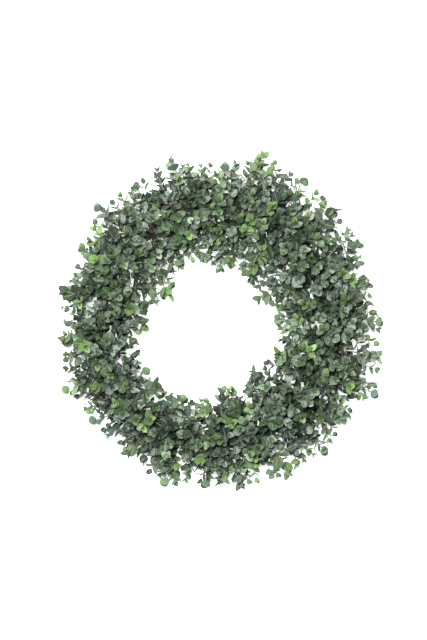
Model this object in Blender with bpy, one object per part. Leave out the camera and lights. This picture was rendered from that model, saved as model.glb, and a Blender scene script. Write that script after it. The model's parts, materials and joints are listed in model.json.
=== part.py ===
"""A eucalyptus wreath, lying on its back: a ring of four twisted vines, with leafy sprays in its grooves.

The axes are those of the wreath as it is seen from the front: +X to the right, +Y up its face, and +Z
towards the viewer. It lies on Z = 0, with the origin under the middle of its outline. Lengths are in
metres. A place on the ring is given by an azimuth, in degrees clockwise from +Y, and by an angle round
the bundle of vines: 0 points outwards, 90 to the front and 180 into the hole.
"""

import math

import bmesh
import bpy
import numpy as np
from mathutils import Matrix
from mathutils.bvhtree import BVHTree

# The ring of vines
RING_RADIUS = 0.197
RING_CENTRE = (-0.008, -0.008)
VINE_COUNT = 4
VINE_RADIUS = 0.0048
VINE_END_RADIUS = 0.0036
VINE_TWISTS = 5
VINE_STEPS = 8
VINE_SIDES = 6
CLEARANCE = 0.00035
FLAT_DEPTH = 0.0010

# The stems of the sprays: a root laid in a groove of the bundle, then a bend outwards to the tip
STEM_ROOT_RADIUS = 0.0013
STEM_TIP_RADIUS = 0.0009
STEM_SIDES = 4
STEM_BEND_POINTS = 3
STEM_BEND_HANDLE = 0.35
ROOT_RUN = 0.014
ROOT_RISE = 0.010
STEM_LEAN = 7.0
STEM_WAYS = (-1, -1, -1, 1, -1)
ROOT_SEARCH = 8
SHIFT_PER_COST = 4.0
ANGLE_PER_COST = 20.0
GROOVE_HALVINGS = 14
TRAIL_SPACING = 0.0015
FIRST_LEAF = 0.010

# The leaves, in opposite pairs, each pair a quarter turn on from the last, from the tip downwards
PAIR_PLACES = (0.002, 0.018, 0.036)
LEAF_LENGTHS = (0.0165, 0.0215, 0.025)
LEAF_SPREADS = (38.0, 52.0, 62.0)
LEAF_CORNERS = 6
LEAF_WIDTH = 0.98
LEAF_THICKNESS = 0.0007
LEAF_FOLD = 0.22
LEAF_CURL = 0.06
LEAF_INSET = 0.00015
LEAF_MARGIN = 0.0004
LEAF_BEYOND = 0.010
LEAF_TURNS = (0, 12, -12, 24, -24, 36, -36, 48, -48)
LEAF_SCALES = (1.0, 0.85, 0.7)
FLOOR_CLEARANCE = 0.001
FLAT_ANGLE = math.radians(1.0)
WELD_DISTANCE = 1e-5
VINE_SHARP_ANGLE = math.radians(70.0)
SEED = 4

# Where the sprays end: azimuth, and distance from the origin to the outermost leaf's tip
OUTER_TIPS = (
    (2, 0.269), (15, 0.297), (31, 0.284), (46, 0.278), (61, 0.277), (76, 0.264), (90, 0.277), (103, 0.282),
    (115, 0.297), (128, 0.272), (141, 0.289), (156, 0.287), (173, 0.289), (185, 0.281), (199, 0.294),
    (215, 0.277), (232, 0.280), (246, 0.289), (263, 0.277), (281, 0.274), (298, 0.272), (313, 0.287),
    (328, 0.275), (343, 0.293),
)
INNER_TIPS = (
    (1, 0.085), (30, 0.088), (60, 0.070), (90, 0.096), (118, 0.104), (146, 0.095), (178, 0.112),
    (207, 0.140), (236, 0.146), (266, 0.124), (298, 0.086), (326, 0.114),
)
FRONT_COUNT = 20
FRONT_FIRST = 8.0
FRONT_REACHES = (0.155, 0.235, 0.195)
FRONT_TIPS = tuple(
    (FRONT_FIRST + 360.0 / FRONT_COUNT * i, FRONT_REACHES[i % len(FRONT_REACHES)]) for i in range(FRONT_COUNT)
)

# Each group of sprays: tips, the heights they take in turn, their rise in degrees, the side of the
# bundle that they leave, and whether they point out of the ring (1) or into it (-1)
SPRAY_GROUPS = {
    "outer": (OUTER_TIPS, (0.024, 0.056, 0.036, 0.072), 15.0, 30.0, 1),
    "inner": (INNER_TIPS, (0.026, 0.066, 0.044), 15.0, 150.0, -1),
    "front": (FRONT_TIPS, (0.086, 0.080, 0.094), 75.0, 90.0, 1),
}

# Worked out from the sizes above
UP = np.array([0.0, 0.0, 1.0])
VINE_SPACING = 360.0 / VINE_COUNT
ROUND_HELIX_RADIUS = (VINE_RADIUS + CLEARANCE / 2) / math.sin(math.radians(VINE_SPACING / 2))
SEGMENT_SAG = math.cos(math.pi / VINE_STEPS)
VINE_SLANT = math.cos(math.atan(VINE_TWISTS * ROUND_HELIX_RADIUS / (RING_RADIUS * SEGMENT_SAG)))
HELIX_RADIUS = ROUND_HELIX_RADIUS / (SEGMENT_SAG * VINE_SLANT)
CREST_RADIUS = HELIX_RADIUS + VINE_RADIUS
BUNDLE_CENTRE = np.array([*RING_CENTRE, CREST_RADIUS - FLAT_DEPTH])
RISE_RADIUS = CREST_RADIUS + STEM_ROOT_RADIUS + CLEARANCE


def outward(azimuth):
    """The unit vector that points out of the ring at this azimuth."""
    turn = math.radians(azimuth)
    return np.array([math.sin(turn), math.cos(turn), 0.0])


def along_ring(azimuth):
    """The unit vector that points clockwise along the ring at this azimuth."""
    return outward(azimuth + 90.0)


def unit(vector):
    """The vector with a length of one."""
    return vector / np.linalg.norm(vector)


def ring_point(azimuth, angle, radius):
    """The point at this angle and distance from the middle of the bundle of vines."""
    turn = math.radians(angle)
    middle = BUNDLE_CENTRE + RING_RADIUS * outward(azimuth)
    return middle + radius * (math.cos(turn) * outward(azimuth) + math.sin(turn) * UP)


def vine_angle(vine, azimuth):
    """The angle of a vine round the bundle. Vine 0 is underneath at azimuth 0."""
    return -90.0 + VINE_SPACING * vine + VINE_TWISTS * azimuth


def groove_angle(groove, azimuth):
    """The angle of the groove between two neighbouring vines."""
    return vine_angle(groove + 0.5, azimuth)


def make_material(name, colour, roughness):
    """A plain material with one linear colour."""
    made = bpy.data.materials.new(name)
    made.use_nodes = True
    shader = made.node_tree.nodes["Principled BSDF"]
    shader.inputs["Base Color"].default_value = (*colour, 1.0)
    shader.inputs["Roughness"].default_value = roughness
    shader.inputs["Metallic"].default_value = 0.0
    return made


def tube(name, points, radii, sides, twist):
    """A closed tube along a polyline, as a mesh object whose end caps are welded on."""
    curve = bpy.data.curves.new(name, "CURVE")
    curve.dimensions = "3D"
    curve.twist_mode = twist
    curve.bevel_depth = 1.0
    curve.bevel_resolution = (sides - 4) // 2
    curve.use_fill_caps = True
    spline = curve.splines.new("POLY")
    spline.points.add(len(points) - 1)
    spline.points.foreach_set("co", np.column_stack([points, np.ones(len(points))]).ravel())
    spline.points.foreach_set("radius", radii)
    drawn = bpy.data.objects.new(name, curve)
    bpy.context.scene.collection.objects.link(drawn)
    graph = bpy.context.evaluated_depsgraph_get()
    mesh = bpy.data.meshes.new_from_object(drawn.evaluated_get(graph))
    placing = drawn.matrix_world.copy()
    bpy.data.objects.remove(drawn)
    bpy.data.curves.remove(curve)
    welded = bmesh.new()
    welded.from_mesh(mesh)
    bmesh.ops.remove_doubles(welded, verts=welded.verts, dist=WELD_DISTANCE)
    welded.to_mesh(mesh)
    welded.free()
    mesh.name = name
    made = bpy.data.objects.new(name, mesh)
    made.matrix_world = placing
    return made


def finish(thing, collection, material, sharp_angle):
    """Puts a piece in the wreath, with its material and its shading."""
    collection.objects.link(thing)
    thing.data.materials.clear()
    thing.data.materials.append(material)
    thing.data.shade_smooth()
    thing.data.set_sharp_from_angle(angle=sharp_angle)


def apply_boolean(target, boolean):
    """Makes the target's mesh what its Boolean modifier gives, and takes the modifier off."""
    graph = bpy.context.evaluated_depsgraph_get()
    mesh = bpy.data.meshes.new_from_object(target.evaluated_get(graph))
    target.modifiers.remove(boolean)
    target.data = mesh


def make_floor_cutter(cutters):
    """The block under Z = 0 that cuts a small flat spot where a vine lies on the surface."""
    bpy.ops.mesh.primitive_cube_add(size=1.0)
    block = bpy.context.object
    block.name = "floor_cutter"
    block.dimensions = (3 * RING_RADIUS, 3 * RING_RADIUS, 2 * VINE_RADIUS)
    block.location = (0.0, 0.0, -VINE_RADIUS)
    block.hide_render = True
    block.display_type = "WIRE"
    block.users_collection[0].objects.unlink(block)
    cutters.objects.link(block)
    return block


def add_vine(vine, collection, material, cutter):
    """One vine: it winds about the bundle, once round the ring, to its two cut ends a step apart."""
    step = 360.0 / (VINE_TWISTS * VINE_STEPS)
    azimuths = VINE_SPACING * vine + step * np.arange(1, VINE_TWISTS * VINE_STEPS)
    points = [ring_point(azimuth, vine_angle(vine, azimuth), HELIX_RADIUS) for azimuth in azimuths]
    radii = np.full(len(points), VINE_RADIUS)
    radii[[0, -1]] = VINE_END_RADIUS
    strand = tube(f"vine_{vine + 1}", points, radii, VINE_SIDES, "Z_UP")
    finish(strand, collection, material, VINE_SHARP_ANGLE)
    boolean = strand.modifiers.new("flat_spots", "BOOLEAN")
    boolean.operation = "DIFFERENCE"
    boolean.object = cutter
    apply_boolean(strand, boolean)
    return strand


def mesh_tree(things):
    """One search tree over the faces of several mesh objects."""
    points, faces = [], []
    for thing in things:
        first = len(points)
        points.extend(vertex.co.copy() for vertex in thing.data.vertices)
        faces.extend([first + index for index in face.vertices] for face in thing.data.polygons)
    return BVHTree.FromPolygons(points, faces)


def groove_point(vines, groove, azimuth):
    """Where a stem's middle lies in a groove, just clear of the vines beside it, found by halving."""
    near, far = HELIX_RADIUS * math.cos(math.radians(VINE_SPACING / 2)), RISE_RADIUS
    for _ in range(GROOVE_HALVINGS):
        radius = (near + far) / 2
        point = ring_point(azimuth, groove_angle(groove, azimuth), radius)
        if vines.find_nearest(point)[3] < STEM_ROOT_RADIUS + CLEARANCE:
            near = radius
        else:
            far = radius
    return ring_point(azimuth, groove_angle(groove, azimuth), far)


def stem_points(vines, groove, leaves_at, way, tip, direction):
    """A stem's route: three points in the groove, the rise out of it, and a cubic bend to the tip."""
    run, rise = (math.degrees(length / RING_RADIUS) for length in (ROOT_RUN, ROOT_RISE))
    root = [groove_point(vines, groove, leaves_at - way * (rise + run * part)) for part in (1, 0.5, 0)]
    start = ring_point(leaves_at, groove_angle(groove, leaves_at), RISE_RADIUS)
    reach = np.linalg.norm(tip - start)
    from_start = start + STEM_BEND_HANDLE * reach * unit(start - root[-1])
    to_tip = tip - STEM_BEND_HANDLE * reach * direction
    t = np.linspace(0.0, 1.0, STEM_BEND_POINTS)[:, None]
    bend = (1 - t) ** 3 * start + 3 * t * (1 - t) ** 2 * from_start + 3 * t**2 * (1 - t) * to_tip + t**3 * tip
    return np.vstack([root, bend])


def place_along(points, distance):
    """The point at this distance along a polyline, and the direction of the line there."""
    steps = np.linalg.norm(np.diff(points, axis=0), axis=1)
    ends = np.cumsum(steps)
    segment = min(int(np.searchsorted(ends, distance)), len(steps) - 1)
    direction = (points[segment + 1] - points[segment]) / steps[segment]
    return points[segment + 1] - direction * (ends[segment] - distance), direction


def trail(points):
    """Closely spaced points along a polyline, for testing its distance to others."""
    length = np.linalg.norm(np.diff(points, axis=0), axis=1).sum()
    distances = np.linspace(0.0, length, int(length / TRAIL_SPACING) + 2)
    return np.array([place_along(points, distance)[0] for distance in distances])


def stem_is_clear(steps, vines, trails):
    """Whether a stem's trail keeps off the vines, the surface below and every earlier stem."""
    keep = STEM_ROOT_RADIUS + CLEARANCE / 2
    if steps[:, 2].min() < FLOOR_CLEARANCE + keep:
        return False
    if min(vines.find_nearest(step)[3] for step in steps) < keep:
        return False
    return all(
        np.linalg.norm(steps[:, None] - other[None], axis=2).min() > 2 * STEM_ROOT_RADIUS + 2 * CLEARANCE
        for other in trails
    )


def plan_sprays():
    """The sprays' names, tips, directions, wanted places on the ring, sides and leaning ways."""
    plan = []
    for group, (tips, heights, rise, side, sense) in SPRAY_GROUPS.items():
        for i, (azimuth, reach) in enumerate(tips):
            tilt = math.radians(rise)
            direction = math.cos(tilt) * sense * outward(azimuth) + math.sin(tilt) * UP
            tip = reach * outward(azimuth) + heights[i % len(heights)] * UP - LEAF_BEYOND * direction
            x, y = (tip - BUNDLE_CENTRE)[:2]
            way = STEM_WAYS[i % len(STEM_WAYS)]
            leaves_at = math.degrees(math.atan2(x, y)) - way * STEM_LEAN
            name = f"{group}_spray_{i + 1:02d}"
            plan.append((name, tip, direction, leaves_at, side, way))
    return plan


def root_stem(vines, trails, tip, direction, leaves_at, side, way):
    """The stem's route from the groove that is best placed and free."""
    options = []
    for shift in range(-ROOT_SEARCH, ROOT_SEARCH + 1):
        for groove in range(VINE_COUNT):
            azimuth = leaves_at + shift
            off_side = (groove_angle(groove, azimuth) - side + 180.0) % 360.0 - 180.0
            cost = abs(off_side) / ANGLE_PER_COST + abs(shift) / SHIFT_PER_COST
            options.append((cost, azimuth, groove))
    for _, azimuth, groove in sorted(options):
        points = stem_points(vines, groove, azimuth, way, tip, direction)
        steps = trail(points)
        if stem_is_clear(steps, vines, trails):
            trails.append(steps)
            return points
    raise ValueError("A stem has no free groove")


def leaf_disc():
    """The flat disc that every leaf is shaped from: its points, its faces and its mesh.

    It has six corners, the base on +X and the tip on -X, and is split along the midrib between them.
    """
    disc = bmesh.new()
    turned = Matrix.Rotation(math.pi / 2, 4, "Z")
    bmesh.ops.create_circle(disc, cap_ends=True, segments=LEAF_CORNERS, radius=1.0, matrix=turned)
    tip, *_, left, right, base = sorted(disc.verts, key=lambda corner: corner.co.x)
    for corner in (base, left, right):
        bmesh.ops.connect_verts(disc, verts=[tip, corner])
    bmesh.ops.solidify(disc, geom=disc.faces[:], thickness=1.0)
    bmesh.ops.recalc_face_normals(disc, faces=disc.faces)
    bmesh.ops.triangulate(disc, faces=disc.faces)
    mesh = bpy.data.meshes.new("leaf_disc")
    disc.to_mesh(mesh)
    disc.free()
    points = np.array([vertex.co[:] for vertex in mesh.vertices])
    points[:, 2] = np.where(points[:, 2] > points[:, 2].mean(), 0.5, -0.5)
    return points, [tuple(face.vertices) for face in mesh.polygons], mesh


def leaf_points(disc, length, thickness):
    """A leaf with its base at the origin, its tip along +X and its folded upper side along +Z.

    The disc is stretched to the length and the width. Each half rises from the midrib with its distance
    from it, and the height grows with the square of the distance from the base, which curls the tip up.
    """
    along = (1.0 - disc[:, 0]) / 2
    across = -disc[:, 1] / 2 * LEAF_WIDTH
    height = LEAF_FOLD * np.abs(across) + LEAF_CURL * along**2
    return np.column_stack([length * along, length * across, length * height + thickness * disc[:, 2]])


def leaf_axes(stem_way, sideways, spread):
    """A leaf's axes as rows: from base to tip, across, and out of its upper side, which faces the tip."""
    turn = math.radians(spread)
    along = math.cos(turn) * stem_way + math.sin(turn) * sideways
    upper = math.sin(turn) * stem_way - math.cos(turn) * sideways
    return np.array([along, np.cross(upper, along), upper])


def leaf_pair(disc, place, stem_way, ring_way, roll, length, spread, thickness):
    """The points of two opposite leaves, the first at this roll about the stem."""
    reference = unit(ring_way - ring_way.dot(stem_way) * stem_way)
    turn = math.radians(roll)
    sideways = math.cos(turn) * reference + math.sin(turn) * np.cross(stem_way, reference)
    shape = leaf_points(disc, length, thickness)
    return [
        place + sense * LEAF_INSET * sideways + shape @ leaf_axes(stem_way, sense * sideways, spread)
        for sense in (1, -1)
    ]


class Crowd:
    """What is already placed, with its owner, so that the next leaf can be kept clear of it."""

    def __init__(self):
        self.owners, self.lows, self.highs, self.trees = [], [], [], []

    def add(self, owner, points, faces):
        """Adds one solid."""
        self.owners.append(owner)
        self.lows.append(points.min(axis=0))
        self.highs.append(points.max(axis=0))
        self.trees.append(BVHTree.FromPolygons(points.tolist(), faces))

    def touches(self, owner, points, faces):
        """Whether a solid crosses one of another owner, or comes too near the surface below."""
        low, high = points.min(axis=0), points.max(axis=0)
        if low[2] < FLOOR_CLEARANCE:
            return True
        others = np.array([other != owner for other in self.owners])
        near = others & (np.array(self.lows) < high).all(axis=1) & (np.array(self.highs) > low).all(axis=1)
        tree = BVHTree.FromPolygons(points.tolist(), faces)
        return any(tree.overlap(self.trees[i]) for i in np.flatnonzero(near))


def add_to_crowd(crowd, owner, thing):
    """Adds a mesh object to the crowd."""
    points = np.array([vertex.co[:] for vertex in thing.data.vertices])
    crowd.add(owner, points, [tuple(face.vertices) for face in thing.data.polygons])


def place_pair(crowd, disc, faces, name, points, ring_way, pair, roll):
    """The first of the pair's turns and sizes that is clear of all else, or no leaves."""
    back, way = place_along(points[::-1], PAIR_PLACES[pair])
    for scale in LEAF_SCALES:
        length = scale * LEAF_LENGTHS[pair]
        for turn in LEAF_TURNS:
            place = (disc, back, -way, ring_way, roll + turn, length, LEAF_SPREADS[pair])
            tested = leaf_pair(*place, LEAF_THICKNESS + 2 * LEAF_MARGIN)
            if not any(crowd.touches(name, leaf, faces) for leaf in tested):
                pair_points = leaf_pair(*place, LEAF_THICKNESS)
                for leaf in pair_points:
                    crowd.add(name, leaf, faces)
                return pair_points
    return []


def join_spray(stem, leaves, disc_mesh, collection, material):
    """Joins a spray's leaves to its stem with one Boolean union, and removes the loose leaves."""
    loose = bpy.data.collections.new("loose_leaves")
    bpy.context.scene.collection.children.link(loose)
    for points in leaves:
        mesh = disc_mesh.copy()
        mesh.vertices.foreach_set("co", points.ravel())
        loose.objects.link(bpy.data.objects.new("leaf", mesh))
    finish(stem, collection, material, math.pi)
    union = stem.modifiers.new("leaves", "BOOLEAN")
    union.operation = "UNION"
    union.operand_type = "COLLECTION"
    union.collection = loose
    union.solver = "MANIFOLD"
    apply_boolean(stem, union)
    joined = bmesh.new()
    joined.from_mesh(stem.data)
    bmesh.ops.dissolve_limit(joined, angle_limit=FLAT_ANGLE, verts=joined.verts, edges=joined.edges)
    bmesh.ops.triangulate(joined, faces=joined.faces)
    joined.to_mesh(stem.data)
    joined.free()
    for leaf in list(loose.objects):
        bpy.data.objects.remove(leaf)
    bpy.data.collections.remove(loose)


def main():
    """Builds the whole wreath."""
    for thing in list(bpy.data.objects):
        bpy.data.objects.remove(thing, do_unlink=True)
    wreath = bpy.data.collections.new("eucalyptus_wreath")
    cutters = bpy.data.collections.new("cutters")
    bpy.context.scene.collection.children.link(wreath)
    bpy.context.scene.collection.children.link(cutters)
    bark = make_material("vine_bark", (0.105, 0.062, 0.036), 0.85)
    foliage = make_material("eucalyptus_leaf", (0.160, 0.255, 0.150), 0.6)

    cutter = make_floor_cutter(cutters)
    vines = [add_vine(vine, wreath, bark, cutter) for vine in range(VINE_COUNT)]
    tree = mesh_tree(vines)
    crowd = Crowd()
    for vine in vines:
        add_to_crowd(crowd, vine.name, vine)

    sprays, trails = [], []
    for name, tip, direction, leaves_at, side, way in plan_sprays():
        points = root_stem(tree, trails, tip, direction, leaves_at, side, way)
        radii = np.linspace(STEM_ROOT_RADIUS, STEM_TIP_RADIUS, len(points))
        stem = tube(name, points, radii, STEM_SIDES, "MINIMUM")
        add_to_crowd(crowd, name, stem)
        free = np.linalg.norm(np.diff(points[-STEM_BEND_POINTS:], axis=0), axis=1).sum() - FIRST_LEAF
        count = sum(place < free for place in PAIR_PLACES)
        sprays.append((stem, points, along_ring(leaves_at), count, []))

    disc, faces, disc_mesh = leaf_disc()
    draw = np.random.default_rng(SEED)
    rolls = draw.uniform(0.0, 90.0, len(sprays))
    for pair in range(len(PAIR_PLACES)):
        for (stem, points, ring_way, count, leaves), roll in zip(sprays, rolls + 90.0 * pair):
            if pair < count:
                leaves += place_pair(crowd, disc, faces, stem.name, points, ring_way, pair, roll)

    for stem, _, _, _, leaves in sprays:
        join_spray(stem, leaves, disc_mesh, wreath, foliage)
    print("leaves:", sum(len(spray[4]) for spray in sprays))


main()
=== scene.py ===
# %% [markdown]
# # A eucalyptus wreath, leaf by leaf
#
# The real wreath is a ring of four brown vines, twisted about each other, with leafy sprays of moulded
# eucalyptus stuck into it all round. The CAD model already holds its plan: the vines, and 56 sprays
# with a stem and a few pairs of plain leaves each. Here every spray gets round, cupped leaves, side
# twigs and a powdery finish, and the vines get their bark.
#
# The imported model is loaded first. It is never moved, because a physics model shares its places.

# %% The frame, and its box
import json
import math

import bpy
import numpy as np
from mathutils.bvhtree import BVHTree
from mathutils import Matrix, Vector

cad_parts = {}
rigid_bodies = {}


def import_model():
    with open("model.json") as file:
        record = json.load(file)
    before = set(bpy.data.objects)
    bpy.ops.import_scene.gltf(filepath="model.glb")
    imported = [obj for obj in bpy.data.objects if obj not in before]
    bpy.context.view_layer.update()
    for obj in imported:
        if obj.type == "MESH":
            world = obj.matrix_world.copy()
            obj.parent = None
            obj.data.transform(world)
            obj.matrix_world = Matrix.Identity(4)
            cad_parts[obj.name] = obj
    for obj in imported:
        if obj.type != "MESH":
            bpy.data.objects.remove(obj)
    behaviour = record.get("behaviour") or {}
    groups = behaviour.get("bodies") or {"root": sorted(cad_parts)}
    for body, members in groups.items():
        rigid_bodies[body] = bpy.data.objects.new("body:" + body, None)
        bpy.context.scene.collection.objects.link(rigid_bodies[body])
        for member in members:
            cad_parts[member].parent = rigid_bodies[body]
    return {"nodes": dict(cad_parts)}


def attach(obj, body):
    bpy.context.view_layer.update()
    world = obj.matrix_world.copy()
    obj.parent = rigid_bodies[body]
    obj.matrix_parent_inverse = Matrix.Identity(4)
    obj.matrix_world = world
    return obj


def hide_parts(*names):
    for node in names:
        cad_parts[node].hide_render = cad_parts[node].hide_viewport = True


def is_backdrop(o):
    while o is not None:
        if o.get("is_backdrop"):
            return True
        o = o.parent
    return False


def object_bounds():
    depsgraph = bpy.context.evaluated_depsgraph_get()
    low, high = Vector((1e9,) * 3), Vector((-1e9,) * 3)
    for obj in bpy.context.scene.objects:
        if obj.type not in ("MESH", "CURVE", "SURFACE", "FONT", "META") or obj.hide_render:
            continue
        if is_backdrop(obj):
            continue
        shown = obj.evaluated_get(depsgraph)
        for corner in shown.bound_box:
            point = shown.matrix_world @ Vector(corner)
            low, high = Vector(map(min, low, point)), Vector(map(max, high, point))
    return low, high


for leftover in list(bpy.data.objects):
    bpy.data.objects.remove(leftover)
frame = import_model()
cad_low, cad_high = (np.array(corner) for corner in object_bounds())
nodes = frame["nodes"]
print(f"{len(nodes)} CAD nodes in a box of {(cad_high - cad_low).round(3)} m")

# %% [markdown]
# ## The plan of the wreath
#
# The part's source lays the wreath out by rules: where the vines run, and where each spray ends. The
# same rules and sizes are written again here, so that what is new grows where the solids are.
# Azimuths are in degrees, clockwise from the top of the wreath. Angles round the bundle of vines go
# from outwards (0) over the front (90) to inwards (180).

# %% The plan's sizes
RING_RADIUS = 0.197
RING_CENTRE = (-0.008, -0.008)
VINE_COUNT = 4
VINE_RADIUS = 0.0048
VINE_TWISTS = 5
VINE_STEPS = 8
CLEARANCE = 0.00035
FLAT_DEPTH = 0.0010
STEM_ROOT_RADIUS = 0.0013
STEM_BEND_POINTS = 3
STEM_BEND_HANDLE = 0.35
ROOT_RUN = 0.014
ROOT_RISE = 0.010
STEM_LEAN = 7.0
STEM_WAYS = (-1, -1, -1, 1, -1)
ROOT_SEARCH = 8
GROOVE_HALVINGS = 14
PAIR_PLACES = (0.002, 0.018, 0.036)
LEAF_LENGTHS = (0.0165, 0.0215, 0.025)
LEAF_SPREADS = (38.0, 52.0, 62.0)
LEAF_THICKNESS = 0.0007
LEAF_CURL = 0.06
LEAF_INSET = 0.00015
LEAF_BEYOND = 0.010
LEAF_TURNS = (0, 12, -12, 24, -24, 36, -36, 48, -48)
LEAF_SCALES = (1.0, 0.85, 0.7)
PLAN_SEED = 4
OUTER_TIPS = (
    (2, 0.269), (15, 0.297), (31, 0.284), (46, 0.278), (61, 0.277), (76, 0.264), (90, 0.277), (103, 0.282),
    (115, 0.297), (128, 0.272), (141, 0.289), (156, 0.287), (173, 0.289), (185, 0.281), (199, 0.294),
    (215, 0.277), (232, 0.280), (246, 0.289), (263, 0.277), (281, 0.274), (298, 0.272), (313, 0.287),
    (328, 0.275), (343, 0.293),
)
INNER_TIPS = (
    (1, 0.085), (30, 0.088), (60, 0.070), (90, 0.096), (118, 0.104), (146, 0.095), (178, 0.112),
    (207, 0.140), (236, 0.146), (266, 0.124), (298, 0.086), (326, 0.114),
)
FRONT_COUNT = 20
FRONT_FIRST = 8.0
FRONT_REACHES = (0.155, 0.235, 0.195)
FRONT_TIPS = tuple(
    (FRONT_FIRST + 360.0 / FRONT_COUNT * i, FRONT_REACHES[i % len(FRONT_REACHES)])
    for i in range(FRONT_COUNT)
)
SPRAY_GROUPS = {
    "outer": (OUTER_TIPS, (0.024, 0.056, 0.036, 0.072), 15.0, 30.0, 1),
    "inner": (INNER_TIPS, (0.026, 0.066, 0.044), 15.0, 150.0, -1),
    "front": (FRONT_TIPS, (0.086, 0.080, 0.094), 75.0, 90.0, 1),
}
OPENING_LOWS = np.array([(-0.069, -0.107), (-0.118, -0.045), (-0.069, -0.107)])
OPENING_HIGHS = np.array([(0.042, 0.071), (0.087, 0.024), (0.0, 0.081)])

UP = np.array([0.0, 0.0, 1.0])
VINE_SPACING = 360.0 / VINE_COUNT
ROUND_HELIX_RADIUS = (VINE_RADIUS + CLEARANCE / 2) / math.sin(math.radians(VINE_SPACING / 2))
SEGMENT_SAG = math.cos(math.pi / VINE_STEPS)
VINE_SLANT = math.cos(math.atan(VINE_TWISTS * ROUND_HELIX_RADIUS / (RING_RADIUS * SEGMENT_SAG)))
HELIX_RADIUS = ROUND_HELIX_RADIUS / (SEGMENT_SAG * VINE_SLANT)
CREST_RADIUS = HELIX_RADIUS + VINE_RADIUS
BUNDLE_CENTRE = np.array([*RING_CENTRE, CREST_RADIUS - FLAT_DEPTH])
RISE_RADIUS = CREST_RADIUS + STEM_ROOT_RADIUS + CLEARANCE
print(f"The bundle of vines is {2000 * CREST_RADIUS:.1f} mm thick")

# %% The plan's directions and places


def unit(vectors):
    """Each vector divided by its length."""
    return vectors / np.linalg.norm(vectors, axis=-1, keepdims=True)


def outward(azimuth):
    """The unit vector, or one for each azimuth, that points out of the ring: (sine, cosine, 0)."""
    turn = np.radians(azimuth)
    return np.stack([np.sin(turn), np.cos(turn), np.zeros_like(turn)], axis=-1)


def along_ring(azimuth):
    """The unit vector that points clockwise along the ring."""
    return outward(azimuth + 90.0)


def ring_point(azimuth, angle, radius):
    """A point of the bundle: its middle at the azimuth, plus the radius times the cosine of the angle
    outwards and its sine upwards. Arrays give one point for each of their values."""
    turn = np.radians(angle)
    middle = BUNDLE_CENTRE + RING_RADIUS * outward(azimuth)
    out = np.multiply.outer(radius * np.cos(turn), (1, 1, 1)) * outward(azimuth)
    return middle + out + np.multiply.outer(radius * np.sin(turn), UP)


def vine_angle(vine, azimuth):
    """The angle of a vine round the bundle, which grows with the azimuth."""
    return -90.0 + VINE_SPACING * vine + VINE_TWISTS * azimuth


def reach_at(tips, azimuth):
    """The reach drawn straight between the tips on each side of an azimuth."""
    azimuths, reaches = np.array(tips).T
    return np.interp(azimuth, azimuths, reaches, period=360.0)


print("The middle of the bundle at the top of the ring:", ring_point(0.0, 0.0, 0.0).round(4))

# %% [markdown]
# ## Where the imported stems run
#
# Each stem starts in a groove between two vines, rises out of it and bends to its tip in one cubic
# curve. The source tried grooves until one was free. That search isn't repeated: the free choice can
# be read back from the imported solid, because one of the possible starting points has four of the
# solid's corners evenly round it.

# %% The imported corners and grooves


def corners_of(node):
    """The corners of a CAD node, each once."""
    mesh = nodes[node].data
    flat = np.empty(3 * len(mesh.vertices), np.float32)
    mesh.vertices.foreach_get("co", flat)
    return np.unique(flat.reshape(-1, 3).astype(float).round(6), axis=0)


def vine_tree():
    """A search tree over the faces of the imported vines."""
    points, faces = [], []
    for vine in range(VINE_COUNT):
        mesh = nodes[f"vine_{vine + 1}"].data
        faces += [[len(points) + index for index in face.vertices] for face in mesh.polygons]
        points += [vertex.co.copy() for vertex in mesh.vertices]
    return BVHTree.FromPolygons(points, faces)


def groove_point(tree, groove, azimuth):
    """Where a stem's middle lies in a groove, just clear of the vines beside it, found by halving."""
    near, far = HELIX_RADIUS * math.cos(math.radians(VINE_SPACING / 2)), RISE_RADIUS
    for _ in range(GROOVE_HALVINGS):
        radius = (near + far) / 2
        point = ring_point(azimuth, vine_angle(groove + 0.5, azimuth), radius)
        if tree.find_nearest(point)[3] < STEM_ROOT_RADIUS + CLEARANCE:
            near = radius
        else:
            far = radius
    return ring_point(azimuth, vine_angle(groove + 0.5, azimuth), far)


packed_vines = vine_tree()
print("The first groove at the top of the ring:", groove_point(packed_vines, 0, 0.0).round(4))

# %% The curve of a stem


def bezier(start, from_start, to_end, end, steps):
    """A cubic curve: its four points weighed by the terms of (1 - t + t) cubed, at even steps of t."""
    t = np.linspace(0.0, 1.0, steps)[:, None]
    early, late = 3 * t * (1 - t) ** 2, 3 * t**2 * (1 - t)
    return (1 - t) ** 3 * start + early * from_start + late * to_end + t**3 * end


def bend(root, start, tip, direction, steps):
    """The free part of a stem: it leaves the way it came and arrives along the given direction."""
    reach = np.linalg.norm(tip - start)
    from_start = start + STEM_BEND_HANDLE * reach * unit(start - root)
    return bezier(start, from_start, tip - STEM_BEND_HANDLE * reach * direction, tip, steps)


square = np.array([(0, 0), (0, 1), (1, 1), (1, 0)])
print("The middle of a curve over three sides of a square:", bezier(*square, 3)[1])

# %% Stems read back from the solids


def read_start(corners, leaves_at):
    """The azimuth and groove whose starting point lies in the middle of its four nearest corners."""
    shift, groove = np.meshgrid(np.arange(-ROOT_SEARCH, ROOT_SEARCH + 1), np.arange(VINE_COUNT))
    azimuth, groove = leaves_at + shift.ravel(), groove.ravel()
    starts = ring_point(azimuth, vine_angle(groove + 0.5, azimuth), RISE_RADIUS)
    apart = np.linalg.norm(corners[None] - starts[:, None], axis=2)
    nearest = np.argsort(apart, axis=1)[:, :4]
    off = np.linalg.norm(corners[nearest].mean(axis=1) - starts, axis=1)
    best = off.argmin()
    return azimuth[best], groove[best], starts[best], off[best]


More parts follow.
